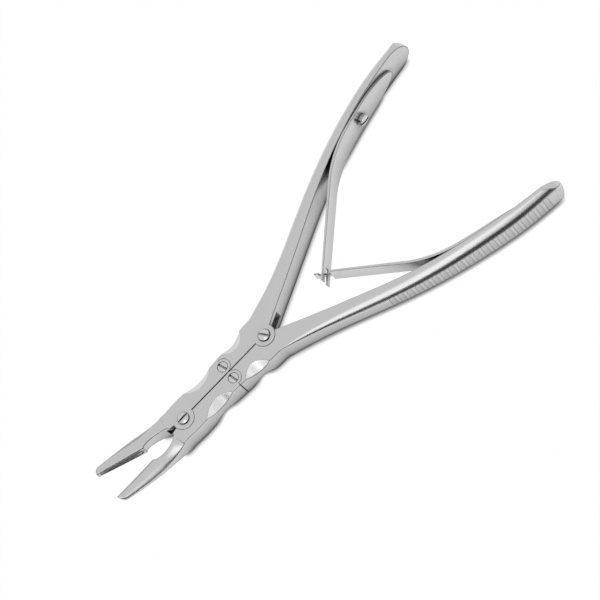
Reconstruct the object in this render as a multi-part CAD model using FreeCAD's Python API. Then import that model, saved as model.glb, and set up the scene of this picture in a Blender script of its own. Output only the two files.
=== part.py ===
import FreeCAD, Part
import math
import os

# Double-action bone rongeur, shown open as it lies. Lengths in millimetres, angles in degrees.
# The origin is on the main pivot, in the plane of the box's underside.
# +X runs along the tool's axis towards the handles, +Y towards the left handle, +Z up.
# Squeezing the handles turns them about the main pivot and spreads the two link pivots.
# The link pivots turn the jaws about the jaw pivot, and the tips close.

# Box joint: the flat middle of the tool
box_thickness = 10.5
ear_thickness = 2.7
tongue_side_gap = 0.05
jaw_pivot_reach = 52.1
link_pivot_reach = 23.3
link_pivot_offset = 4.0
main_boss_radius = 5.3
jaw_boss_radius = 5.3
link_boss_radius = 3.85
boss_gap = 0.1
link_slot_room = 0.5
half_parting = 0.2
half_jaw_parting = 0.25
half_shoulder_gap = 0.1
box_edge_radius = 0.4

# Outer edge of the box: distance ahead of or behind the main pivot, then half width
handle_side = [(-23.3, 9.1), (-18.0, 9.4), (-11.0, 10.3), (-4.0, 11.3)]
jaw_side = [(-23.3, 9.1), (-29.0, 8.75), (-37.0, 8.85), (-45.0, 9.1), (-52.0, 9.2)]

# Hollow-ground scallops on the box's outer edges: centre, length, width on top, depth on the side
handle_scallop = (-13.6, 13.4, 4.5, 3.1)
jaw_scallop = (-36.1, 16.8, 4.0, 3.1)

# Milled slots run out a little past the tongue, as the cutter leaves them
slot_cutter_radius = 6.6
main_slot_shift = 7.2
jaw_slot_shift = -3.6

# Pivot screws: domed heads in counterbores, with the plain end flush underneath
main_screw_shank = 4.2
main_screw_head = 5.5
main_head_height = 2.2
main_head_proud = 1.0
main_head_dome = 0.5
link_screw_shank = 3.2
link_screw_head = 4.9
link_head_height = 1.6
link_head_proud = 0.25
link_head_dome = 0.3
head_side_gap = 0.12
screw_seat_gap = 0.02
running_gap = 0.06
open_pivot_gap = 0.09
slot_width = 0.9
slot_depth = 0.9
main_slot_turn = -59.0
jaw_slot_turn = 1.0
left_slot_turn = -77.0
right_slot_turn = 82.0

# Handles: the inner face runs straight from the axis and then bows inwards.
# The underside is level with the box, and the top rises to the full height of the grip.
face_start = 1.3
handle_angle = 27.3
straight_run = 57.0
bow_radius = 255.0
handle_run = 149.8
neck_run = 6.6
grip_height = 16.4
face_spare = 0.6
handle_end_length = 11.0
handle_end_corner = 6.8
end_overlap = 0.1

# Handle sections: run, depth, height, and the back edges' rounding in depth and in height
handle_sections = [
    (neck_run, 10.2, box_thickness, box_edge_radius, box_edge_radius),
    (18.0, 8.8, box_thickness, 1.8, 1.6),
    (30.0, 7.9, 10.7, 2.9, 2.5),
    (44.0, 7.4, 11.3, 3.8, 3.2),
    (62.0, 6.9, 12.4, 4.4, 3.9),
    (85.0, 6.4, 14.2, 4.9, 4.6),
    (108.0, 6.0, 15.8, 5.1, 5.0),
    (128.0, 5.6, grip_height, 4.8, 5.0),
    (143.0, 4.7, grip_height, 4.1, 4.8),
    (handle_run, 4.7, grip_height, 4.1, 4.8),
]

# Grip flutes across the back of each handle
flute_count = 20
flute_pitch = 4.2
first_flute_run = 60.0
flute_radius = 2.4
flute_depth = 0.4

# Jaw blades, set out closed: distance ahead of the jaw pivot
jaw_opening = 9.6
closed_half_gap = 0.05
blade_start = 9.0
blade_reach = 46.0
blade_rise = 10.9
rise_power = 1.25
nose_length = 4.2
nose_depth = 4.4

# Blade sections: distance ahead, half height, depth, and where the outer corner stands
blade_sections = [
    (blade_start, box_thickness / 2, 7.75, 0.95, 0.88),
    (13.0, 4.1, 7.65, 0.88, 0.74),
    (18.0, 3.15, 7.5, 0.82, 0.62),
    (24.0, 2.6, 7.2, 0.76, 0.52),
    (31.0, 2.2, 6.3, 0.72, 0.46),
    (38.0, 1.8, 5.0, 0.70, 0.45),
    (blade_reach, 1.35, 3.5, 0.70, 0.45),
]

# Hollow cup in each blade: distance ahead, then radius
cup_sections = [(23.6, 0.9), (25.2, 1.75), (29.0, 1.95), (34.0, 1.7), (39.0, 1.4), (43.0, 1.1), (44.6, 0.6)]

# Oval throat between the blades behind the cups
throat_centre = 15.4
throat_half_length = 7.4
throat_half_width = 2.3

# Leaf springs between the handles
leaf_root_run = 136.0
leaf_bend_run = 99.0
leaf_bend_radius = 60.0
leaf_angle = 44.0
leaf_thickness = 1.25
leaf_tip_thickness = 0.8
leaf_root_half_width = 6.9
leaf_half_width = 4.6
leaf_seat_gap = 0.1
leaf_root_taper = 23.0
prong_past = 3.6
prong_slot_half_width = 1.5
prong_slot_length = 7.0
neck_half_width = 1.1
neck_before = 3.4
neck_past = 2.2
toggle_past = 4.4
toggle_half_width = 2.6

# Spring screws
spring_screw_run = 110.0
spring_screw_head = 5.8
spring_head_height = 2.6
spring_head_dome = 0.6
spring_screw_shank = 2.6
spring_screw_length = 4.0

# Ground ends keep a narrow flat, and cutters reach past the metal
end_flat = 0.05
spare = 4.0

TOP = box_thickness
MIDDLE = box_thickness / 2
GRIP_MIDDLE = grip_height / 2
TALL = 40.0
Z = FreeCAD.Vector(0, 0, 1)
MAIN_PIVOT = FreeCAD.Vector(0, 0, 0)
JAW_PIVOT = FreeCAD.Vector(-jaw_pivot_reach, 0, 0)
LINK_PIVOT = FreeCAD.Vector(-link_pivot_reach, link_pivot_offset, 0)


def point(x, y, z=0.0):
    return FreeCAD.Vector(x, y, z)


def prism(wire, low, high):
    """A flat outline drawn at z = 0, standing from low to high."""
    face = Part.Face(wire)
    face.translate(Z * low)
    return face.extrude(Z * (high - low))


def drum(centre, radius, low, high):
    """An upright cylinder about a pivot."""
    return Part.makeCylinder(radius, high - low, centre + Z * low, Z)


def side_curve(points, end_tangent):
    """A smooth outer edge through a few widths."""
    curve = Part.BSplineCurve()
    places = [point(x, y) for x, y in points]
    start_tangent = places[1] - places[0]
    start_tangent.normalize()
    curve.interpolate(places, InitialTangent=start_tangent, FinalTangent=end_tangent)
    return curve.toShape()


def mirrored(shape):
    """The same shape on the right-hand side of the tool's axis."""
    return shape.mirror(point(0, 0, 0), point(0, 1, 0))


def corner_curve(start, corner, end):
    """A quarter of an ellipse from start to end, rounding off the corner."""
    curve = Part.BezierCurve()
    curve.setPoles([start, corner, end])
    curve.setWeight(2, math.sqrt(0.5))
    return curve.toShape()


def section_loft(wires):
    return Part.makeLoft(wires, True, False)


def round_end(start, direction, across, length, half, low, high):
    """What is ground away to leave a flat end round: cut from low to high across the piece."""
    end = length - end_flat
    far = length + spare
    tall = half + spare

    def at(along, up):
        return start + direction * along + Z * up

    edges = [
        corner_curve(at(0, half), at(end, half), at(end, 0)),
        corner_curve(at(end, 0), at(end, -half), at(0, -half)),
        Part.makeLine(at(0, -half), at(0, -tall)),
        Part.makeLine(at(0, -tall), at(far, -tall)),
        Part.makeLine(at(far, -tall), at(far, tall)),
        Part.makeLine(at(far, tall), at(0, tall)),
        Part.makeLine(at(0, tall), at(0, half)),
    ]
    face = Part.Face(Part.Wire(edges))
    face.translate(across * low)
    return face.extrude(across * (high - low))


def round_corner(start, direction, across, length, depth):
    """What is ground away to round an outer corner when seen from above."""
    end = length - end_flat

    def at(along, out):
        return start + direction * along + across * out

    edges = [
        corner_curve(at(0, depth), at(end, depth), at(end, 0)),
        Part.makeLine(at(end, 0), at(length + spare, 0)),
        Part.makeLine(at(length + spare, 0), at(length + spare, depth + spare)),
        Part.makeLine(at(length + spare, depth + spare), at(0, depth + spare)),
        Part.makeLine(at(0, depth + spare), at(0, depth)),
    ]
    return prism(Part.Wire(edges), -TALL / 2, TALL)


# Hinges of the box joint

def as_fork(body, pivot, radius, slot_radius, slot_shift):
    """Two ears round the pivot, with a milled slot between them for the other half's tongue."""
    low, high = ear_thickness, TOP - ear_thickness
    body = body.fuse(drum(pivot, radius, 0.0, TOP))
    body = body.cut(drum(pivot, slot_radius, low, high))
    if slot_shift:
        body = body.cut(drum(pivot + point(slot_shift, 0), slot_cutter_radius, low, high))
    return body


def as_tongue(body, pivot, radius):
    """A tongue round the pivot, with the upper and lower faces cut back clear of the ears."""
    low = ear_thickness + tongue_side_gap
    high = TOP - low
    body = body.fuse(drum(pivot, radius - boss_gap, low, high))
    body = body.cut(drum(pivot, radius + boss_gap, -spare, low))
    return body.cut(drum(pivot, radius + boss_gap, high, TOP + spare))


def drill(body, pivot, shank, gap, head=None, seat_height=None):
    """A through hole for a pivot screw, with a counterbore where its head sits."""
    body = body.cut(drum(pivot, shank / 2 + gap, -spare, TOP + spare))
    if head:
        body = body.cut(drum(pivot, head / 2 + head_side_gap, seat_height, TOP + spare))
    return body


def scallops(centre, length, top_width, side_depth, half_width):
    """Two hollow-ground scallops, on the upper and the lower outer edge of the box."""
    chord = math.hypot(top_width, side_depth)
    depth = top_width * side_depth / chord
    radius = (length ** 2 / 4 + depth ** 2) / (2 * depth)
    cutters = []
    for corner, up in ((TOP, 1.0), (0.0, -1.0)):
        along = point(0, top_width / chord, -up * side_depth / chord)
        outward = point(0, side_depth / chord, up * top_width / chord)
        middle = point(centre, half_width, corner) + outward * (radius - depth)
        cutters.append(Part.makeCylinder(radius, TALL, middle - along * (TALL / 2), along))
    return cutters


def width_at(side, x):
    """Half width of the box at a distance along the axis."""
    ordered = sorted(side)
    for (x0, y0), (x1, y1) in zip(ordered, ordered[1:]):
        if x0 <= x <= x1:
            return y0 + (y1 - y0) * (x - x0) / (x1 - x0)
    return ordered[-1][1]


# Handles

def face_point(run, up=0.0):
    """Point on the handle's inner face, and the direction of the handle there."""
    angle = math.radians(handle_angle)
    straight = min(run, straight_run)
    x = face_start + straight * math.cos(angle)
    y = straight * math.sin(angle)
    turned = angle
    if run > straight_run:
        turned = angle - (run - straight_run) / bow_radius
        x += bow_radius * (math.sin(angle) - math.sin(turned))
        y += bow_radius * (math.cos(turned) - math.cos(angle))
    return point(x, y, up), point(math.cos(turned), math.sin(turned))


def outward(direction):
    """Direction from a left handle's inner face to its back."""
    return point(-direction.y, direction.x)


def handle_section(run, depth, height, round_depth, round_height):
    """D-shaped section: flat inner face with sharp edges, and a back with rounded edges."""
    base, direction = face_point(run)
    out = outward(direction)

    def at(across, up):
        return base + out * across + Z * up

    low_in, high_in = at(-face_spare, 0), at(-face_spare, height)
    high_turn, back_high = at(depth - round_depth, height), at(depth, height - round_height)
    low_turn, back_low = at(depth - round_depth, 0), at(depth, round_height)
    edges = [
        Part.makeLine(low_in, high_in),
        Part.makeLine(high_in, high_turn),
        corner_curve(high_turn, at(depth, height), back_high),
        Part.makeLine(back_high, back_low),
        corner_curve(back_low, at(depth, 0), low_turn),
        Part.makeLine(low_turn, low_in),
    ]
    return Part.Wire(edges)


def bow_arc(first_run, last_run, inward):
    """Arc beside the bowed part of the inner face, at a distance towards the axis."""
    places = []
    for run in (first_run, (first_run + last_run) / 2, last_run):
        base, direction = face_point(run)
        places.append(base - outward(direction) * inward)
    return Part.Arc(*places).toShape(), places[0], places[2]


def face_cutter():
    """Grinds the inner face true: straight behind the box, then one even bow."""
    bow, bow_start, bow_end = bow_arc(straight_run, handle_run + spare, 0.0)
    base, direction = face_point(0.0)
    start = base - direction * spare
    inward = outward(direction) * -spare
    last_inward = outward(face_point(handle_run)[1]) * -spare
    edges = [
        Part.makeLine(start, bow_start),
        bow,
        Part.makeLine(bow_end, bow_end + last_inward),
        Part.makeLine(bow_end + last_inward, bow_start + inward),
        Part.makeLine(bow_start + inward, start + inward),
        Part.makeLine(start + inward, start),
    ]
    return prism(Part.Wire(edges), -TALL / 2, TALL)


def handle_end_cutters():
    """What is ground away to leave the handle's end round, seen from the side and from above."""
    middle, direction = face_point(handle_run, GRIP_MIDDLE)
    out = outward(direction)
    side_start = middle - direction * handle_end_length
    half = GRIP_MIDDLE + end_overlap
    corner_start = face_point(handle_run)[0] - direction * handle_end_corner
    depth = handle_sections[-1][1] + end_overlap
    return [
        round_end(side_start, direction, out, handle_end_length, half, -TALL / 4, TALL / 2),
        round_corner(corner_start, direction, out, handle_end_corner, depth),
    ]


def handle_plate():
    """The flat front of the handle, from the link pivot back to the neck."""
    base, direction = face_point(neck_run)
    neck_out = base + outward(direction) * handle_sections[0][1]
    shoulder = -link_pivot_reach + half_shoulder_gap
    neck_in = base - outward(direction) * face_spare
    outer = [(shoulder, handle_side[0][1])] + handle_side[1:] + [(neck_out.x, neck_out.y)]
    crotch = point(face_start + half_parting / math.tan(math.radians(handle_angle)), half_parting)
    inner_front = point(shoulder, half_parting)
    edges = [
        Part.makeLine(point(*outer[-1]), neck_in),
        Part.makeLine(neck_in, crotch),
        Part.makeLine(crotch, inner_front),
        Part.makeLine(inner_front, point(*outer[0])),
        side_curve(outer, direction),
    ]
    body = prism(Part.Wire(edges), 0.0, TOP)
    return round_outer_edges(body, outer)


def round_outer_edges(body, outer):
    """Breaks the upper and lower outer edge of a flat plate."""
    edges = []
    inner_y = min(y for x, y in outer) / 2
    ends = (min(x for x, y in outer), max(x for x, y in outer))
    for edge in body.Edges:
        box = edge.BoundBox
        level = box.ZLength < box_edge_radius
        full_length = abs(box.XMin - ends[0]) + abs(box.XMax - ends[1]) < box_edge_radius
        if level and full_length and box.YMin > inner_y:
            edges.append(edge)
    return body.makeFillet(box_edge_radius, edges)


def handle_blank():
    """The handle as forged and ground: the flat front, and the D-shaped grip that grows out of its end."""
    plate = handle_plate()
    base, direction = face_point(neck_run)
    neck = max(plate.Faces, key=lambda face: (face.CenterOfMass - base).dot(direction))
    sections = [neck.OuterWire] + [handle_section(*values) for values in handle_sections[1:]]
    body = plate.fuse(section_loft(sections))
    return body.cut([face_cutter(), *handle_end_cutters()])


def flutes(blank):
    """Round grooves across the back of the grip."""
    cutters = []
    for index in range(flute_count):
        base, direction = face_point(first_flute_run + index * flute_pitch, GRIP_MIDDLE)
        out = outward(direction)
        depth = Part.makeLine(base - out, base + out * TALL).common(blank).Length
        middle = base + out * (depth + flute_radius - flute_depth) - Z * TALL / 2
        cutters.append(Part.makeCylinder(flute_radius, TALL, middle, Z))
    return cutters


def handle(forked):
    """One handle, drawn on the left-hand side: forked or tongued at the main pivot."""
    body = handle_blank()
    centre, length, top_width, side_depth = handle_scallop
    hollows = scallops(centre, length, top_width, side_depth, width_at(handle_side, centre))
    body = body.cut(hollows + flutes(body))
    if forked:
        seat = TOP + main_head_proud - main_head_height
        body = as_fork(body, MAIN_PIVOT, main_boss_radius, main_boss_radius, main_slot_shift)
        body = drill(body, MAIN_PIVOT, main_screw_shank, screw_seat_gap, main_screw_head, seat)
    else:
        body = as_tongue(body, MAIN_PIVOT, main_boss_radius)
        body = drill(body, MAIN_PIVOT, main_screw_shank, running_gap)
    body = as_tongue(body, LINK_PIVOT, link_boss_radius)
    body = drill(body, LINK_PIVOT, link_screw_shank, running_gap)
    base, direction = face_point(spring_screw_run, GRIP_MIDDLE)
    out = outward(direction)
    hole_radius = spring_screw_shank / 2 + screw_seat_gap
    hole = Part.makeCylinder(hole_radius, spring_screw_length + spare, base - out * spare, out)
    return body.cut(hole).removeSplitter()


# Jaws

def opened(shape):
    """Turns a shape set out with the jaws closed to the open rest position, about the jaw pivot."""
    turned = shape.copy()
    turned.rotate(MAIN_PIVOT, Z, -jaw_opening)
    turned.translate(JAW_PIVOT)
    return turned


def blade_middle(ahead):
    """Height of the blade's mid-line: it sweeps up from the box to the tip."""
    share = max(ahead - blade_start, 0.0) / (blade_reach - blade_start)
    return MIDDLE + blade_rise * share ** rise_power


def blade_section(ahead, half_height, depth, corner_share, side_share):
    """Flat cutting face, domed top and underside, and a low outer side."""
    middle = blade_middle(ahead)
    inner = closed_half_gap

    def at(across, up):
        return point(-ahead, inner + across, middle + up)

    low_in, high_in = at(0, -half_height), at(0, half_height)
    high_out, low_out = at(depth, side_share * half_height), at(depth, -side_share * half_height)
    high_corner = at(corner_share * depth, half_height)
    low_corner = at(corner_share * depth, -half_height)
    edges = [
        Part.makeLine(low_in, high_in),
        corner_curve(high_in, high_corner, high_out),
        Part.makeLine(high_out, low_out),
        corner_curve(low_out, low_corner, low_in),
    ]
    return Part.Wire(edges)


def nose_cutter():
    """What is ground away to leave the tip round when seen from above."""
    start = point(nose_length - blade_reach, closed_half_gap)
    return round_corner(start, point(-1, 0), point(0, 1), nose_length, nose_depth)


def cup():
    """The hollow that takes the bitten bone."""
    rings = []
    for ahead, radius in cup_sections:
        centre = point(-ahead, 0, blade_middle(ahead))
        rings.append(Part.Wire([Part.makeCircle(radius, centre, point(1, 0, 0))]))
    return section_loft(rings)


def throat():
    """The oval gap behind the cups, cut right through."""
    oval = Part.Ellipse(point(-throat_centre, 0), throat_half_length, throat_half_width)
    return prism(Part.Wire([oval.toShape()]), -TALL / 2, TALL)


def blade():
    body = section_loft([blade_section(*values) for values in blade_sections])
    return body.cut([nose_cutter(), cup(), throat()])


def jaw_plate():
    """The flat root of the jaw, from the link pivot forward to where the blade begins."""
    depth = blade_sections[0][2]
    blade_in = opened(Part.Vertex(point(-blade_start, closed_half_gap, 0))).Point
    blade_out = opened(Part.Vertex(point(-blade_start, closed_half_gap + depth, 0))).Point
    shoulder = -link_pivot_reach - half_shoulder_gap
    outer = [(shoulder, jaw_side[0][1])] + jaw_side[1:] + [(blade_out.x, blade_out.y)]
    near_pivot = opened(Part.Vertex(point(-jaw_boss_radius, closed_half_gap, 0))).Point
    along_blade = blade_in - near_pivot
    along_blade.normalize()
    behind_pivot = point(-jaw_pivot_reach, half_jaw_parting)
    inner_back = point(shoulder, half_jaw_parting)
    edges = [
        Part.makeLine(point(*outer[-1]), blade_in),
        Part.makeLine(blade_in, near_pivot),
        Part.makeLine(near_pivot, behind_pivot),
        Part.makeLine(behind_pivot, inner_back),
        Part.makeLine(inner_back, point(*outer[0])),
        side_curve(outer, along_blade),
    ]
    body = prism(Part.Wire(edges), 0.0, TOP)
    return round_outer_edges(body, outer)


def jaw(forked):
    """One jaw, drawn on the left-hand side: forked or tongued at the jaw pivot."""
    body = jaw_plate()
    centre, length, top_width, side_depth = jaw_scallop
    body = body.cut(scallops(centre, length, top_width, side_depth, width_at(jaw_side, centre)))
    body = body.cut(opened(throat()))
    body = body.fuse(opened(blade()))
    if forked:
        seat = TOP + main_head_proud - main_head_height
        body = as_fork(body, JAW_PIVOT, jaw_boss_radius, jaw_boss_radius, jaw_slot_shift)
        body = drill(body, JAW_PIVOT, main_screw_shank, screw_seat_gap, main_screw_head, seat)
    else:
        body = as_tongue(body, JAW_PIVOT, jaw_boss_radius)
        body = drill(body, JAW_PIVOT, main_screw_shank, open_pivot_gap)
    body = as_fork(body, LINK_PIVOT, link_boss_radius, link_boss_radius + link_slot_room, 0.0)
    seat = TOP + link_head_proud - link_head_height
    body = drill(body, LINK_PIVOT, link_screw_shank, screw_seat_gap, link_screw_head, seat)
    return body.removeSplitter()


# Screws

def domed_head(seat, axis, head, height, dome):
    """A screw head standing on its seat: a short cylinder with a domed top."""
    curve = (head ** 2 / 4 + dome ** 2) / (2 * dome)
    middle = point(head / 4, 0, height - curve + math.sqrt(curve ** 2 - (head / 4) ** 2))
    rim, top = point(head / 2, 0, height - dome), point(0, 0, height)
    edges = [
        Part.makeLine(point(0, 0, 0), point(head / 2, 0, 0)),
        Part.makeLine(point(head / 2, 0, 0), rim),
        Part.Arc(rim, middle, top).toShape(),
        Part.makeLine(top, point(0, 0, 0)),
    ]
    body = Part.Face(Part.Wire(edges)).revolve(point(0, 0, 0), Z, 360)
    body.Placement = FreeCAD.Placement(seat, FreeCAD.Rotation(Z, axis))
    return body


def saw_slot(top, axis, head):
    """What a saw takes out across the top of a screw head."""
    slot = Part.makeBox(2 * head, slot_width, slot_depth + spare, point(-head, -slot_width / 2, -slot_depth))
    slot.Placement = FreeCAD.Placement(top, FreeCAD.Rotation(Z, axis))
    return slot


def pivot_screw(pivot, shank, head, head_height, proud, dome, slot_angle):
    """A slotted screw: head in the upper ear, shank through the tongue, end flush underneath."""
    top = TOP + proud
    body = domed_head(pivot + Z * (top - head_height), Z, head, head_height, dome)
    body = body.fuse(drum(pivot, shank / 2, 0.0, top - head_height))
    slot = saw_slot(pivot + Z * top, Z, head)
    slot.rotate(pivot, Z, slot_angle)
    return body.cut(slot)


def spring_screw():
    """The screw that holds a leaf spring against the left handle's inner face."""
    base, direction = face_point(spring_screw_run, GRIP_MIDDLE)
    inward = outward(direction) * -1.0
    seat = leaf_seat_gap * 2 + leaf_thickness
    leaf_face = base + inward * seat
    body = domed_head(leaf_face, inward, spring_screw_head, spring_head_height, spring_head_dome)
    shank = Part.makeCylinder(spring_screw_shank / 2, spring_screw_length + seat, leaf_face, inward * -1.0)
    return body.fuse(shank).cut(saw_slot(leaf_face + inward * spring_head_height, inward, spring_screw_head))


# Leaf springs

def leaf_turn():
    """Direction of the handle where the leaf leaves it, and of the leaf's straight part, in radians."""
    direction = face_point(leaf_bend_run)[1]
    return math.atan2(direction.y, direction.x), math.radians(leaf_angle)


def leaf_point(run, across):
    """Point beside the leaf's outer surface, counted from the bend towards the tip, and its heading."""
    base, direction = face_point(leaf_bend_run)
    first, last = leaf_turn()
    start = base - outward(direction) * leaf_seat_gap
    turned = first + min(run / leaf_bend_radius, last - first)
    bend_shift = point(math.sin(turned) - math.sin(first), math.cos(first) - math.cos(turned))
    place = start - bend_shift * leaf_bend_radius
    heading = point(-math.cos(turned), -math.sin(turned))
    straight = max(run - (last - first) * leaf_bend_radius, 0.0)
    return place + heading * straight + outward(heading) * across, heading


def leaf_bend_run_length():
    first, last = leaf_turn()
    return (last - first) * leaf_bend_radius


def leaf_crossing():
    """Run along the leaf, from the bend, at which its outer surface meets the tool's axis."""
    bend = leaf_bend_run_length()
    place, heading = leaf_point(bend, 0.0)
    return bend - place.y / heading.y


def leaf_outline(tip_run):
    """The leaf seen from above: seated root, bend and tapering straight part."""
    bend = leaf_bend_run_length()
    outer_root, root_out, bend_out = bow_arc(leaf_root_run, leaf_bend_run, leaf_seat_gap)
    inner_root, root_in, bend_in = bow_arc(leaf_root_run, leaf_bend_run, leaf_seat_gap + leaf_thickness)
    middle_out, straight_out = leaf_point(bend / 2, 0.0)[0], leaf_point(bend, 0.0)[0]
    middle_in, straight_in = leaf_point(bend / 2, leaf_thickness)[0], leaf_point(bend, leaf_thickness)[0]
    tip_out, tip_in = leaf_point(tip_run, 0.0)[0], leaf_point(tip_run, leaf_tip_thickness)[0]
    edges = [
        outer_root,
        Part.Arc(bend_out, middle_out, straight_out).toShape(),
        Part.makeLine(straight_out, tip_out),
        Part.makeLine(tip_out, tip_in),
        Part.makeLine(tip_in, straight_in),
        Part.Arc(straight_in, middle_in, bend_in).toShape(),
        inner_root,
        Part.makeLine(root_in, root_out),
    ]
    return Part.Wire(Part.__sortEdges__(edges))


def root_cutter():
    """What is taken off the leaf's root to leave a long rounded tongue."""
    middle, direction = face_point(leaf_root_run, GRIP_MIDDLE)
    start = middle - direction * leaf_root_taper
    half = leaf_root_half_width + end_overlap
    return round_end(start, direction, outward(direction), leaf_root_taper, half, -TALL / 4, TALL / 4)


def edge_cutters(tip_run):
    """What is taken off the leaf's long edges: they draw in along the bend and then run level to the tip."""
    bend = leaf_bend_run_length()
    first, last = leaf_turn()
    straight_start, heading = leaf_point(bend, 0.0)
    bend_reach = leaf_bend_radius * math.sin(last - first)
    tip_reach = tip_run - bend + spare
    cutters = []
    for up in (1.0, -1.0):
        outline = [(-bend_reach, leaf_root_half_width), (0.0, leaf_half_width), (tip_reach, leaf_half_width),
                   (tip_reach, leaf_root_half_width + spare), (-bend_reach, leaf_root_half_width + spare)]
        corners = [straight_start + heading * along + Z * (GRIP_MIDDLE + up * high) for along, high in outline]
        face = Part.Face(Part.makePolygon(corners + corners[:1]))
        face.translate(outward(heading) * (-TALL / 4))
        cutters.append(face.extrude(outward(heading) * (TALL / 2)))
    return cutters


def tip_block(start, end, low, high):
    """A block standing across the leaf, from start to end past its crossing of the axis."""
    place, heading = leaf_point(leaf_crossing(), 0.0)
    block = Part.makeBox(end - start, 2 * spare, high - low, point(start, -spare, low))
    block.rotate(point(0, 0, 0), Z, math.degrees(math.atan2(heading.y, heading.x)))
    block.translate(place)
    return block


def leaf(forked):
    """One leaf spring, drawn on the left-hand side: a forked tip, or a neck with a cross end."""
    past = prong_past if forked else toggle_past
    tip_run = leaf_crossing() + past
    body = prism(leaf_outline(tip_run), GRIP_MIDDLE - leaf_root_half_width, GRIP_MIDDLE + leaf_root_half_width)
    cutters = [root_cutter(), *edge_cutters(tip_run)]
    if forked:
        low, high = GRIP_MIDDLE - prong_slot_half_width, GRIP_MIDDLE + prong_slot_half_width
        cutters.append(tip_block(prong_past - prong_slot_length, prong_past + spare, low, high))
    else:
        edge = leaf_half_width + spare
        for up in (1.0, -1.0):
            neck = sorted((GRIP_MIDDLE + up * neck_half_width, GRIP_MIDDLE + up * edge))
            cutters.append(tip_block(-neck_before, neck_past, *neck))
            cross = sorted((GRIP_MIDDLE + up * toggle_half_width, GRIP_MIDDLE + up * edge))
            cutters.append(tip_block(0.0, toggle_past + spare, *cross))
    base, direction = face_point(spring_screw_run, GRIP_MIDDLE)
    out = outward(direction)
    hole_radius = spring_screw_shank / 2 + head_side_gap
    cutters.append(Part.makeCylinder(hole_radius, 2 * spare, base - out * spare, out))
    return body.cut(cutters)


def main():
    os.makedirs("parts", exist_ok=True)
    main_screw = (main_screw_shank, main_screw_head, main_head_height, main_head_proud, main_head_dome)
    link_screw = (link_screw_shank, link_screw_head, link_head_height, link_head_proud, link_head_dome)
    pieces = {
        "handle_left": handle(True),
        "handle_right": mirrored(handle(False)),
        "jaw_left": jaw(True),
        "jaw_right": mirrored(jaw(False)),
        "handle_pivot_screw": pivot_screw(MAIN_PIVOT, *main_screw, main_slot_turn),
        "jaw_pivot_screw": pivot_screw(JAW_PIVOT, *main_screw, jaw_slot_turn),
        "link_screw_left": pivot_screw(LINK_PIVOT, *link_screw, left_slot_turn),
        "link_screw_right": mirrored(pivot_screw(LINK_PIVOT, *link_screw, right_slot_turn)),
        "spring_left": leaf(True),
        "spring_right": mirrored(leaf(False)),
        "spring_screw_left": spring_screw(),
        "spring_screw_right": mirrored(spring_screw()),
    }
    for name, shape in pieces.items():
        shape.exportStep("parts/" + name + ".step")
        box = shape.BoundBox
        print(name, shape.isValid(), len(shape.Solids), round(shape.Volume, 1),
              [round(v, 1) for v in (box.XMin, box.XMax, box.YMin, box.YMax, box.ZMin, box.ZMax)])


main()
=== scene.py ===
import bpy
import bmesh
import math
from mathutils import Matrix, Vector


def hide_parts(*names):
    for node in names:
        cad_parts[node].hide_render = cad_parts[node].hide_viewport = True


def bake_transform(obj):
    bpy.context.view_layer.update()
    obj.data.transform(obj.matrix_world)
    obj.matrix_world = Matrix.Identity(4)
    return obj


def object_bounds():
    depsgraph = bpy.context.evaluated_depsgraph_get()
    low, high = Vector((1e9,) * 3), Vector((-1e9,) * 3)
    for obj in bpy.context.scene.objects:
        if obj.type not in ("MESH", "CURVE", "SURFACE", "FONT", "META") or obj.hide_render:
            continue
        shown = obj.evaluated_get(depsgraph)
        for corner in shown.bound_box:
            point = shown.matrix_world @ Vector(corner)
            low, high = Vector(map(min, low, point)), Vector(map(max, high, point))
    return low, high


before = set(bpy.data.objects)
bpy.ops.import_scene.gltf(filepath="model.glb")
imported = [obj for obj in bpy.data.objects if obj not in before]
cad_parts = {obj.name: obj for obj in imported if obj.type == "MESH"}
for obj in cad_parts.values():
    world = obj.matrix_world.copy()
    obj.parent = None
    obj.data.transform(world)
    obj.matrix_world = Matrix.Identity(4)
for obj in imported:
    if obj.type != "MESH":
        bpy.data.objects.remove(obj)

cad_box = [list(corner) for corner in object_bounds()]

# White table.
# The rongeur lies on the level underside of its box and grips, on a plain white table top larger than any view of it.
# The camera sees white paper with a painted soft contact shadow, and steel sees painted shade on it under and in
# front of the tool.

mm = 0.001
table_half_size = 6.0
table_gap = 0.05 * mm
table_height = cad_box[0][2] - table_gap

table_mesh = bpy.data.meshes.new("white_table")
corners = [(-1, -1), (1, -1), (1, 1), (-1, 1)]
table_mesh.from_pydata(
    [(x * table_half_size, y * table_half_size, table_height) for x, y in corners], [], [(0, 1, 2, 3)])
white_table = bpy.data.objects.new("white_table", table_mesh)
bpy.context.scene.collection.objects.link(white_table)


def maths(tree, operation, *values):
    """One sum in a node tree: each value is a number, or an output that is linked in."""
    step = tree.nodes.new("ShaderNodeMath")
    step.operation = operation
    for socket, value in zip(step.inputs, values):
        if isinstance(value, (int, float)):
            socket.default_value = value
        else:
            tree.links.new(value, socket)
    return step.outputs[0]


def ranged(tree, value, start, end, at_start=0.0, at_end=1.0, smooth=False):
    """A value between start and end brought to the range at_start to at_end, and held there beyond them."""
    step = tree.nodes.new("ShaderNodeMapRange")
    step.interpolation_type = "SMOOTHSTEP" if smooth else "LINEAR"
    for socket, number in (("From Min", start), ("From Max", end), ("To Min", at_start), ("To Max", at_end)):
        step.inputs[socket].default_value = number
    tree.links.new(value, step.inputs["Value"])
    return step.outputs[0]


def coordinates(tree, vector):
    """The X, Y and Z of a vector."""
    step = tree.nodes.new("ShaderNodeSeparateXYZ")
    tree.links.new(vector, step.inputs[0])
    return step.outputs


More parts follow.
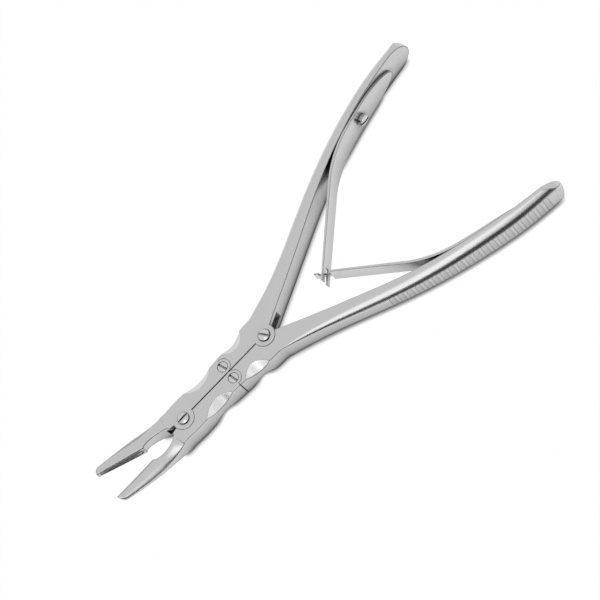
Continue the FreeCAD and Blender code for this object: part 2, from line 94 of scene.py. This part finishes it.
def openness(tree, reach):
    """How open a place lies: 1 in the open, less where something stands within reach of it."""
    step = tree.nodes.new("ShaderNodeAmbientOcclusion")
    step.samples = 8
    if isinstance(reach, float):
        step.inputs["Distance"].default_value = reach
    else:
        tree.links.new(reach, step.inputs["Distance"])
    return step.outputs["AO"]


paper_white = 0.93
white_to_camera, white_in_steel = 0.99, 0.95
contact_reach, under_reach = 2.4 * mm, 7.0 * mm
front_lean = 0.36
front_start, front_end, front_white = -45 * mm, -75 * mm, 0.1
shaded_at, open_at, darkest_shadow = 0.35, 0.97, 0.12

paper = bpy.data.materials.new("white_paper")
paper.use_nodes = True
tree = paper.node_tree
tree.nodes.clear()
ray = tree.nodes.new("ShaderNodeLightPath")
to_camera = ray.outputs["Is Camera Ray"]
mirrored = maths(tree, "MAXIMUM", ray.outputs["Is Glossy Ray"], ray.outputs["Is Transmission Ray"])
white_share = maths(tree, "MAXIMUM", maths(tree, "MULTIPLY", to_camera, white_to_camera),
                    maths(tree, "MULTIPLY", mirrored, white_in_steel))
spot = tree.nodes.new("ShaderNodeNewGeometry")
spot_at = coordinates(tree, spot.outputs["Position"])
# Painted shade on the paper: steel sees it dimmer in front of the tool and under it, and camera and steel both see a
# painted contact shadow.
in_front = maths(tree, "MULTIPLY_ADD", maths(tree, "MAXIMUM", spot_at["X"], 0.0), front_lean, spot_at["Y"])
reflected_paper_painted_shade = maths(tree, "MULTIPLY", ranged(tree, in_front, front_start, front_end, 1.0, front_white),
                       openness(tree, under_reach))
soft_shadow = ranged(tree, openness(tree, contact_reach), shaded_at, open_at, darkest_shadow)
matt = tree.nodes.new("ShaderNodeBsdfDiffuse")
matt.inputs["Color"].default_value = (paper_white, paper_white, paper_white, 1)
lit = tree.nodes.new("ShaderNodeEmission")
tree.links.new(maths(tree, "MULTIPLY", maths(tree, "MAXIMUM", reflected_paper_painted_shade, to_camera), soft_shadow),
               lit.inputs["Strength"])
blend = tree.nodes.new("ShaderNodeMixShader")
for source, socket in ((white_share, 0), (matt.outputs[0], 1), (lit.outputs[0], 2)):
    tree.links.new(source, blend.inputs[socket])
out = tree.nodes.new("ShaderNodeOutputMaterial")
tree.links.new(blend.outputs[0], out.inputs[0])
table_mesh.materials.append(paper)

# Light tent.
# Even white cloth all round. A long soft lamp hangs high over the tool's front right, and a small one beside its
# right handle. A dark card stands low along the right side, to draw the dark line along the rounded steel.

tent_level = 0.86
world = bpy.data.worlds.new("light_tent")
world.use_nodes = True
world.node_tree.nodes["Background"].inputs["Color"].default_value = (tent_level, tent_level, tent_level, 1)
bpy.context.scene.world = world


def toward(azimuth, elevation, distance):
    """Place at a distance from the main pivot: azimuth from +X towards +Y, both in degrees."""
    a, e = math.radians(azimuth), math.radians(elevation)
    return Vector((math.cos(e) * math.cos(a), math.cos(e) * math.sin(a), math.sin(e))) * distance


def soft_lamp(name, azimuth, elevation, distance, across, high, level):
    """A rectangular lamp that faces the tool, its long side in the plane of the zenith."""
    lamp = bpy.data.lights.new(name, "AREA")
    lamp.shape = "RECTANGLE"
    lamp.size, lamp.size_y = across, high
    lamp.energy = level * math.pi * across * high
    holder = bpy.data.objects.new(name, lamp)
    holder.location = toward(azimuth, elevation, distance)
    holder.rotation_euler = holder.location.to_track_quat("Z", "Y").to_euler()
    holder.visible_camera = False
    bpy.context.scene.collection.objects.link(holder)


soft_lamp("overhead_lamp", azimuth=222, elevation=62, distance=1.5, across=0.9, high=1.6, level=0.65)
soft_lamp("side_lamp", azimuth=322, elevation=50, distance=1.5, across=0.5, high=0.35, level=0.5)

card_distance = 1.2
card_top = 0.9
card_grey, card_roughness = 0.03, 0.9
card_mesh = bpy.data.meshes.new("dark_card")
card_points = [toward(azimuth, 0, card_distance) for azimuth in range(220, 291, 10)]
count = len(card_points)
card_mesh.from_pydata(
    [(p.x, p.y, table_height) for p in card_points] + [(p.x, p.y, card_top) for p in card_points], [],
    [(i, i + 1, count + i + 1, count + i) for i in range(count - 1)])
dark_card = bpy.data.objects.new("dark_card", card_mesh)
dark_card.visible_camera = False
bpy.context.scene.collection.objects.link(dark_card)
card_black = bpy.data.materials.new("card_black")
card_black.use_nodes = True
card_inputs = card_black.node_tree.nodes["Principled BSDF"].inputs
card_inputs["Base Color"].default_value = (card_grey, card_grey, card_grey, 1)
card_inputs["Roughness"].default_value = card_roughness
card_mesh.materials.append(card_black)

# Camera.
# A long lens from above the tool's right side, turned so that the jaws point down to the left of the picture.

photo_right = Vector((0.6963, -0.6215, -0.3589)).normalized()
photo_back = Vector((0.0, -0.5, 0.8660)).normalized()
photo_up = photo_back.cross(photo_right)
aim = Vector((22.7, -0.7, 10.5)) * mm
camera_distance = 1.46

camera_data = bpy.data.cameras.new("camera")
camera_data.sensor_width = 36.0
camera_data.lens = 194.7
camera_data.clip_start = 0.05
camera_data.clip_end = 50.0
camera = bpy.data.objects.new("camera", camera_data)
camera.matrix_world = Matrix.Translation(aim + photo_back * camera_distance) @ Matrix(
    (photo_right, photo_up, photo_back)).transposed().to_4x4()
bpy.context.scene.collection.objects.link(camera)
bpy.context.scene.camera = camera
bpy.context.scene.view_settings.view_transform = "Standard"

# Handles.
# Two drop-forged stainless bars, flat inside and rounded outside, each milled at the front into a fork or a tongue.
# They are ground lengthways, then satin finished, and the edges are broken by hand.


def new_group(name, inputs, outputs):
    """An empty node group with named sockets: (name, kind, default) for inputs, (name, kind) for outputs."""
    group = bpy.data.node_groups.new(name, "ShaderNodeTree")
    for socket, kind, default in inputs:
        made = group.interface.new_socket(name=socket, in_out="INPUT", socket_type=kind)
        if default is not None:
            made.default_value = default
    for socket, kind in outputs:
        group.interface.new_socket(name=socket, in_out="OUTPUT", socket_type=kind)
    return group, group.nodes.new("NodeGroupInput").outputs, group.nodes.new("NodeGroupOutput").inputs


def vector_maths(tree, operation):
    """A node that works on whole vectors."""
    step = tree.nodes.new("ShaderNodeVectorMath")
    step.operation = operation
    return step


def satin_grinding():
    """Fine grinding lines in one direction, under a soft cloudy satin finish."""
    line_stretch, line_share, cloud_share, darkening = 0.04, 0.65, 0.35, -0.10
    group, given, made = new_group(
        "satin grinding",
        [("Place", "NodeSocketVector", None), ("Turn", "NodeSocketFloat", 0.0),
         ("Line Spacing", "NodeSocketFloat", 0.6 * mm), ("Steel", "NodeSocketColor", (0.6, 0.6, 0.6, 1)),
         ("Roughness", "NodeSocketFloat", 0.2), ("Variation", "NodeSocketFloat", 0.06)],
        [("Color", "NodeSocketColor"), ("Roughness", "NodeSocketFloat"), ("Height", "NodeSocketFloat")])
    node, link = group.nodes.new, group.links.new
    turn = node("ShaderNodeVectorRotate")
    turn.rotation_type = "Z_AXIS"
    link(given["Place"], turn.inputs["Vector"])
    link(given["Turn"], turn.inputs["Angle"])
    stretch = vector_maths(group, "MULTIPLY")
    stretch.inputs[1].default_value = (line_stretch, 1.0, 1.0)
    link(turn.outputs[0], stretch.inputs[0])
    lines = node("ShaderNodeTexNoise")
    lines.inputs["Detail"].default_value = 2.0
    lines.inputs["Roughness"].default_value = 0.6
    link(stretch.outputs[0], lines.inputs["Vector"])
    link(maths(group, "DIVIDE", 1.0, given["Line Spacing"]), lines.inputs["Scale"])
    clouds = node("ShaderNodeTexNoise")
    clouds.inputs["Scale"].default_value = 90.0
    clouds.inputs["Detail"].default_value = 3.0
    link(given["Place"], clouds.inputs["Vector"])

    mixed = maths(group, "MULTIPLY_ADD", lines.outputs["Fac"], line_share,
                  maths(group, "MULTIPLY", clouds.outputs["Fac"], cloud_share))
    centred = maths(group, "SUBTRACT", mixed, 0.5)
    shade = vector_maths(group, "SCALE")
    link(given["Steel"], shade.inputs[0])
    link(maths(group, "MULTIPLY_ADD", centred, darkening, 1.0), shade.inputs["Scale"])
    link(shade.outputs[0], made["Color"])
    link(maths(group, "MULTIPLY_ADD", centred, given["Variation"], given["Roughness"]), made["Roughness"])
    link(lines.outputs["Fac"], made["Height"])
    return group


def broken_edge():
    """Edges rubbed round: the normal turned over the edge, and masks of the rub and of its right-hand side, where a
    dark line of painted shade goes.
    """
    unturned, fully_turned = 1.0, 0.96
    right_from, right_to = -0.1, -0.3
    group, given, made = new_group(
        "broken edge", [("Radius", "NodeSocketFloat", 0.3 * mm), ("Width", "NodeSocketFloat", 0.5 * mm)],
        [("Normal", "NodeSocketVector"), ("Edge", "NodeSocketFloat"), ("Line", "NodeSocketFloat")])
    normals = []
    for socket, samples in (("Radius", 8), ("Width", 6)):
        bevel = group.nodes.new("ShaderNodeBevel")
        bevel.samples = samples
        group.links.new(given[socket], bevel.inputs["Radius"])
        normals.append(bevel.outputs[0])
    turned, narrow = normals
    flat = group.nodes.new("ShaderNodeNewGeometry")
    alike = vector_maths(group, "DOT_PRODUCT")
    group.links.new(narrow, alike.inputs[0])
    group.links.new(flat.outputs["Normal"], alike.inputs[1])
    rub = ranged(group, alike.outputs["Value"], unturned, fully_turned)
    # Painted shade: the rubbed edges that face -Y are masked for a dark line in the colour.
    painted_shade_side = ranged(group, coordinates(group, narrow)["Y"], right_from, right_to)
    group.links.new(turned, made["Normal"])
    group.links.new(rub, made["Edge"])
    group.links.new(maths(group, "MULTIPLY", rub, painted_shade_side), made["Line"])
    return group


def open_metal():
    """How open the metal lies: 1 on plain faces, falling to 0 deep in slots, gaps and hollows, where shade is painted
    into the colour.
    """
    deep, plain = 0.15, 0.97
    group, given, made = new_group(
        "open metal", [("Reach", "NodeSocketFloat", 1.5 * mm)], [("Open", "NodeSocketFloat")])
    group.links.new(ranged(group, openness(group, given["Reach"]), deep, plain), made["Open"])
    return group


def hollow_highlight_mask():
    """Where a hollow-ground scallop gets a painted highlight: slanting faces near a place along the tool, mostly on
    its right side.
    """
    group, given, made = new_group(
        "painted hollow highlight",
        [("Place", "NodeSocketVector", None), ("Middle", "NodeSocketFloat", 0.0),
         ("Reach", "NodeSocketFloat", 7.0 * mm)],
        [("Hollow", "NodeSocketFloat")])
    flat = group.nodes.new("ShaderNodeNewGeometry")
    facing = coordinates(group, flat.outputs["Normal"])
    mask = maths(group, "COMPARE", coordinates(group, given["Place"])["X"], given["Middle"], given["Reach"])
    off_top, off_side, to_the_right = ("Z", 0.93, 0.85, 0.0), ("Z", 0.08, 0.2, 0.0), ("Y", 0.2, -0.2, 0.2)
    for axis, start, end, at_start in (off_top, off_side, to_the_right):
        mask = maths(group, "MULTIPLY", mask, ranged(group, facing[axis], start, end, at_start))
    group.links.new(mask, made["Hollow"])
    return group


blade_start = -58 * mm


def crowned_back():
    """The height of a blade's back, ground round across its width and fading out towards the box."""
    blade_lean, blade_offset, full_crown = 0.13, 3.87 * mm, -74 * mm
    group, given, made = new_group(
        "crowned back", [("Place", "NodeSocketVector", None), ("Curve", "NodeSocketFloat", 9.0 * mm)],
        [("Height", "NodeSocketFloat")])
    at = coordinates(group, given["Place"])
    middle = maths(group, "MULTIPLY_ADD", at["X"], blade_lean, blade_offset)
    across = maths(group, "ADD", maths(group, "ABSOLUTE", at["Y"]), middle)
    drop = maths(group, "DIVIDE", maths(group, "MULTIPLY", across, across),
                 maths(group, "MULTIPLY", given["Curve"], -2.0))
    fade = ranged(group, at["X"], blade_start, full_crown, smooth=True)
    group.links.new(maths(group, "MULTIPLY", drop, fade), made["Height"])
    return group


grinding_group = satin_grinding()
crown_group = crowned_back()
hollow_highlight_group = hollow_highlight_mask()
edge_group = broken_edge()
open_group = open_metal()


def use_group(tree, group, values):
    """Puts a node group in a tree, with numbers, colours or linked outputs for its sockets, and gives its outputs."""
    step = tree.nodes.new("ShaderNodeGroup")
    step.node_tree = group
    for socket, value in values.items():
        if isinstance(value, (int, float, tuple)):
            step.inputs[socket].default_value = value
        else:
            tree.links.new(value, step.inputs[socket])
    return step.outputs


def bumped(tree, normal, height, distance):
    """A normal tilted by a height map."""
    step = tree.nodes.new("ShaderNodeBump")
    step.inputs["Distance"].default_value = distance
    tree.links.new(height, step.inputs["Height"])
    tree.links.new(normal, step.inputs["Normal"])
    return step.outputs[0]


def ground_steel(name, steel, roughness, variation, turn, line_spacing, line_depth, edge_radius, place="Object",
                 blade_radius=None, hollow=None):
    """Satin stainless steel, ground along one direction, with rubbed edges, and painted shade and highlight in its
    colour.

    A jaw's edges widen to blade_radius along its crowned blade, and hollow is the middle and reach of a scallop with
    a painted highlight.
    """
    # The third value darkens the colour of rubbed edges facing -Y: a painted dark line of shade.
    widest_rub, rub_polish, painted_edge_shade = 0.7 * mm, -0.04, -0.8
    full_blade = -68 * mm
    # Painted shade: the colour darkens in slots, gaps and hollows, down to the least level.
    recess_reach, darkest_recess_shade = 3.0 * mm, 0.05
    # Painted highlight: the scallop's colour is made brighter.
    painted_hollow_highlight = 0.45

    material = bpy.data.materials.new(name)
    material.use_nodes = True
    tree = material.node_tree
    shader = tree.nodes["Principled BSDF"]
    shader.inputs["Metallic"].default_value = 1.0
    where = tree.nodes.new("ShaderNodeTexCoord").outputs
    grinding = use_group(tree, grinding_group, {
        "Place": where[place], "Turn": math.radians(turn), "Line Spacing": line_spacing,
        "Steel": (steel, steel, steel, 1), "Roughness": roughness, "Variation": variation})

    radius = edge_radius
    if blade_radius:
        along = coordinates(tree, where["Object"])["X"]
        radius = ranged(tree, along, blade_start, full_blade, edge_radius, blade_radius)
    edges = use_group(tree, edge_group, {"Radius": radius, "Width": min(edge_radius, widest_rub)})
    normal = edges["Normal"]
    if blade_radius:
        crown = use_group(tree, crown_group, {"Place": where["Object"]})
        normal = bumped(tree, normal, crown["Height"], 1.0)
    normal = bumped(tree, normal, grinding["Height"], line_depth)

    recess = use_group(tree, open_group, {"Reach": recess_reach})
    # Painted light in the colour: a dark line on edges facing -Y, painted shade in recesses, and a painted highlight
    # in the scallop.
    painted_light_tone = maths(tree, "MULTIPLY", maths(tree, "MULTIPLY_ADD", edges["Line"], painted_edge_shade, 1.0),
                 ranged(tree, recess["Open"], 0.0, 1.0, darkest_recess_shade))
    if hollow:
        scallop = use_group(tree, hollow_highlight_group, {"Place": where["Object"], "Middle": hollow[0], "Reach": hollow[1]})
        painted_light_tone = maths(tree, "MULTIPLY", painted_light_tone, maths(tree, "MULTIPLY_ADD", scallop["Hollow"], painted_hollow_highlight, 1.0))
    colour = vector_maths(tree, "SCALE")
    tree.links.new(grinding["Color"], colour.inputs[0])
    tree.links.new(painted_light_tone, colour.inputs["Scale"])
    tree.links.new(colour.outputs[0], shader.inputs["Base Color"])
    tree.links.new(maths(tree, "MULTIPLY_ADD", edges["Edge"], rub_polish, grinding["Roughness"]),
                   shader.inputs["Roughness"])
    tree.links.new(normal, shader.inputs["Normal"])
    return material


def finish(node_name, material):
    """Gives one CAD piece its steel."""
    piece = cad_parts[node_name]
    piece.data.materials.clear()
    piece.data.materials.append(material)


handle_turn = 27.3
steel_level = 0.61
for side, turn in (("left", -handle_turn), ("right", handle_turn)):
    finish("handle_" + side, ground_steel(
        "handle_steel_" + side, steel_level, roughness=0.27, variation=0.08, turn=turn,
        line_spacing=0.6 * mm, line_depth=0.004 * mm, edge_radius=0.8 * mm, hollow=(-13.6 * mm, 6.9 * mm)))

# Jaws.
# Two stainless jaws, flat and forked or tongued at the back, swept up and hollowed to cups at the front.
# They are ground lengthways and the blades are polished a little finer than the box.

for side in ("left", "right"):
    finish("jaw_" + side, ground_steel(
        "jaw_steel_" + side, steel_level, roughness=0.25, variation=0.07, turn=0.0,
        line_spacing=0.6 * mm, line_depth=0.004 * mm, edge_radius=0.5 * mm, blade_radius=1.4 * mm,
        hollow=(-36.1 * mm, 8.6 * mm)))

# Pivot and spring screws.
# Turned stainless cheese-head screws with a sawn slot, polished on the lathe. The main and jaw screws stand proud.
# The two link screws are driven nearly level with the box, and two more hold the leaf springs to the handles.

screw_steel = ground_steel(
    "screw_steel", 0.66, roughness=0.14, variation=0.05, turn=0.0,
    line_spacing=0.4 * mm, line_depth=0.002 * mm, edge_radius=0.5 * mm)
for screw in ("handle_pivot_screw", "jaw_pivot_screw", "link_screw_left", "link_screw_right",
              "spring_screw_left", "spring_screw_right"):
    finish(screw, screw_steel)

# Leaf springs.
# Two leaves of hardened bright stainless strip, each screwed flat against its handle and bent towards the other.
# The left one ends in a fork that holds the right one's neck and cross end, and on the real tool both bend as the
# handles close.

face_start = 1.3
handle_angle = math.radians(handle_turn)
straight_run = 57.0
bow_radius = 255.0
leaf_middle = 8.2
seat_gap = 0.1
leaf_root_run = 136.0
leaf_bend_run = 99.0
leaf_bend_radius = 60.0
leaf_angle = math.radians(44.0)
root_thickness, tip_thickness = 1.25, 0.8
root_half_width, leaf_half_width = 6.9, 4.6
root_taper = 23.0
root_spare, root_tip_half_width = 0.1, 0.12
fork_half_slot, fork_slot_length, fork_past = 1.5, 7.0, 3.6
neck_half_width, neck_before, neck_past = 1.1, 3.4, 2.2
cross_half_width, cross_past = 2.6, 4.4
leaf_edge = 0.16
bending_from, bending_to = -3.0, 23.0


def handle_face(run):
    """Place on the left handle's inner face, in millimetres, and the face's heading."""
    straight = min(run, straight_run)
    heading = handle_angle - max(run - straight_run, 0.0) / bow_radius
    x = face_start + straight * math.cos(handle_angle)
    y = straight * math.sin(handle_angle)
    x += bow_radius * (math.sin(handle_angle) - math.sin(heading))
    y += bow_radius * (math.cos(heading) - math.cos(handle_angle))
    return x, y, heading


bend_x, bend_y, bend_heading = handle_face(leaf_bend_run)
bend_length = (leaf_angle - bend_heading) * leaf_bend_radius
root_length = leaf_root_run - leaf_bend_run


def leaf_line(run):
    """Place on the leaf's outer surface, counted from the bend towards the tip, and the heading back to the root."""
    if run < 0:
        x, y, heading = handle_face(leaf_bend_run - run)
        return x + seat_gap * math.sin(heading), y - seat_gap * math.cos(heading), heading
    heading = bend_heading + min(run / leaf_bend_radius, leaf_angle - bend_heading)
    x = bend_x + seat_gap * math.sin(bend_heading) - leaf_bend_radius * (math.sin(heading) - math.sin(bend_heading))
    y = bend_y - seat_gap * math.cos(bend_heading) - leaf_bend_radius * (math.cos(bend_heading) - math.cos(heading))
    rest = max(run - bend_length, 0.0)
    return x - rest * math.cos(heading), y - rest * math.sin(heading), heading


straight_y = leaf_line(bend_length)[1]
crossing = bend_length + straight_y / math.sin(leaf_angle)


def leaf_thickness(run):
    """The straight part is ground thinner towards the tip."""
    share = min(max(run - bend_length, 0.0) / (crossing - bend_length), 1.0)
    return root_thickness + (tip_thickness - root_thickness) * share


def half_width(run):
    """The root is ground to a long rounded tongue, and the leaf draws in along its bend."""
    if run > 0:
        share = math.sin(leaf_angle - leaf_line(run)[2]) / math.sin(leaf_angle - bend_heading)
        return leaf_half_width + (root_half_width - leaf_half_width) * share
    past = max(-run - (root_length - root_taper), 0.0) / root_taper
    rounded = (root_half_width + root_spare) * math.sqrt(max(1.0 - past ** 2, 0.0))
    return min(max(rounded, root_tip_half_width), root_half_width)


def leaf_spring(name, side, rows):
    """Builds one leaf from rows (run, strips), each strip of metal being (low, high, key of low, key of high)."""
    mesh = bmesh.new()
    uv = mesh.loops.layers.uv.new("UVMap")
    columns = sorted({edge for _, strips in rows for strip in strips for edge in strip[2:]})
    places = {}

    def corner(row, column, inside):
        run, strips = rows[row]
        low, high, low_key, high_key = strips[0][0], strips[-1][1], strips[0][2], strips[-1][3]
        for strip in strips:
            if column in strip[2:]:
                low, high, low_key, high_key = strip
        up = high if column == high_key else low
        key = (row, column, inside)
        if key not in places:
            x, y, heading = leaf_line(run)
            depth = leaf_thickness(run) if inside else 0.0
            x += depth * math.sin(heading)
            y -= depth * math.cos(heading)
            places[key] = (mesh.verts.new((x * mm, side * y * mm, (leaf_middle + up) * mm)), (run * mm, up * mm))
        return places[key]

    def face(*corners):
        made = mesh.faces.new([vertex for vertex, _ in corners])
        for loop, (_, flat) in zip(made.loops, corners):
            loop[uv].uv = flat

    def wall(first, second):
        face(corner(*first, False), corner(*second, False), corner(*second, True), corner(*first, True))

    cells = set()
    for row in range(len(rows) - 1):
        here = {strip[2:] for strip in rows[row][1]} & {strip[2:] for strip in rows[row + 1][1]}
        cells |= {(row, low, high) for low, high in here}
    for row, low, high in sorted(cells):
        face(*[corner(r, c, False) for r, c in ((row, low), (row + 1, low), (row + 1, high), (row, high))])
        face(*[corner(r, c, True) for r, c in ((row, low), (row, high), (row + 1, high), (row + 1, low))])
        for end, step in ((row, -1), (row + 1, 1)):
            if (row + step, low, high) not in cells:
                wall((end, low), (end, high))
        if not any((row, other, low) in cells for other in columns):
            wall((row, low), (row + 1, low))
        if not any((row, high, other) in cells for other in columns):
            wall((row, high), (row + 1, high))
    bmesh.ops.recalc_face_normals(mesh, faces=mesh.faces)
    data = bpy.data.meshes.new(name)
    mesh.to_mesh(data)
    mesh.free()
    data.shade_smooth()
    data.set_sharp_from_angle(angle=math.radians(35))
    leaf = bpy.data.objects.new(name, data)
    bpy.context.scene.collection.objects.link(leaf)
    rounding = leaf.modifiers.new("broken_edges", "BEVEL")
    rounding.width = leaf_edge * mm
    rounding.segments = 2
    rounding.limit_method = "ANGLE"
    rounding.angle_limit = math.radians(40)
    rounding.use_clamp_overlap = True
    rounding.harden_normals = True
    return leaf


def root_runs():
    """Runs along the seated root, closer together towards its rounded end."""
    taper = [-root_length + root_taper * (1 - math.cos(math.radians(5 * step))) for step in range(18)]
    seat = [-root_length + root_taper + (root_length - root_taper) * step / 8 for step in range(8)]
    return taper + seat


def body_runs(end):
    """Runs along the bend and the straight part, up to the end."""
    bend = [bend_length * step / 12 for step in range(12)]
    straight = [bend_length + (end - bend_length) * step / 14 for step in range(15)]
    return bend + straight


def forked_rows():
    """Rows of the left leaf. Keys a to d number the edges across: outer, slot, slot, outer."""
    slot = fork_half_slot
    rows = []
    slot_start = crossing + fork_past - fork_slot_length
    for run in root_runs() + body_runs(slot_start):
        half = half_width(run)
        inner = min(slot, half * 0.5)
        rows.append((run, [(-half, -inner, "a", "b"), (-inner, inner, "b", "c"), (inner, half, "c", "d")]))
    half = leaf_half_width
    for step in range(1, 9):
        run = slot_start + fork_slot_length * step / 8
        rows.append((run, [(-half, -slot, "a", "b"), (slot, half, "c", "d")]))
    return rows


def necked_rows():
    """Rows of the right leaf: its body, a narrow neck between keys b and c, and a cross end."""
    neck_start = crossing - neck_before
    rows = []
    for run in root_runs() + body_runs(neck_start):
        half = half_width(run)
        inner = min(neck_half_width, half * 0.5)
        rows.append((run, [(-half, -inner, "a", "b"), (-inner, inner, "b", "c"), (inner, half, "c", "d")]))
    neck = neck_half_width
    for step in range(1, 7):
        run = neck_start + (neck_before + neck_past) * step / 6
        rows.append((run, [(-neck, neck, "b", "c")]))
    wide = cross_half_width
    cross = [(-wide, -neck, "a", "b"), (-neck, neck, "b", "c"), (neck, wide, "c", "d")]
    rows[-1] = (rows[-1][0], cross)
    for step in range(1, 4):
        rows.append((crossing + neck_past + (cross_past - neck_past) * step / 3, cross))
    return rows


leaf_steel = ground_steel(
    "leaf_steel", steel_level, roughness=0.2, variation=0.08, turn=0.0,
    line_spacing=0.5 * mm, line_depth=0.003 * mm, edge_radius=0.5 * mm, place="UV")
bend_from, bend_to = leaf_line(bending_from), leaf_line(bending_to)
for side_name, side, rows in (("left", 1, forked_rows()), ("right", -1, necked_rows())):
    leaf = leaf_spring("leaf_spring_" + side_name, side, rows)
    leaf.data.materials.append(leaf_steel)
    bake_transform(leaf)
    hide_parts("spring_" + side_name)
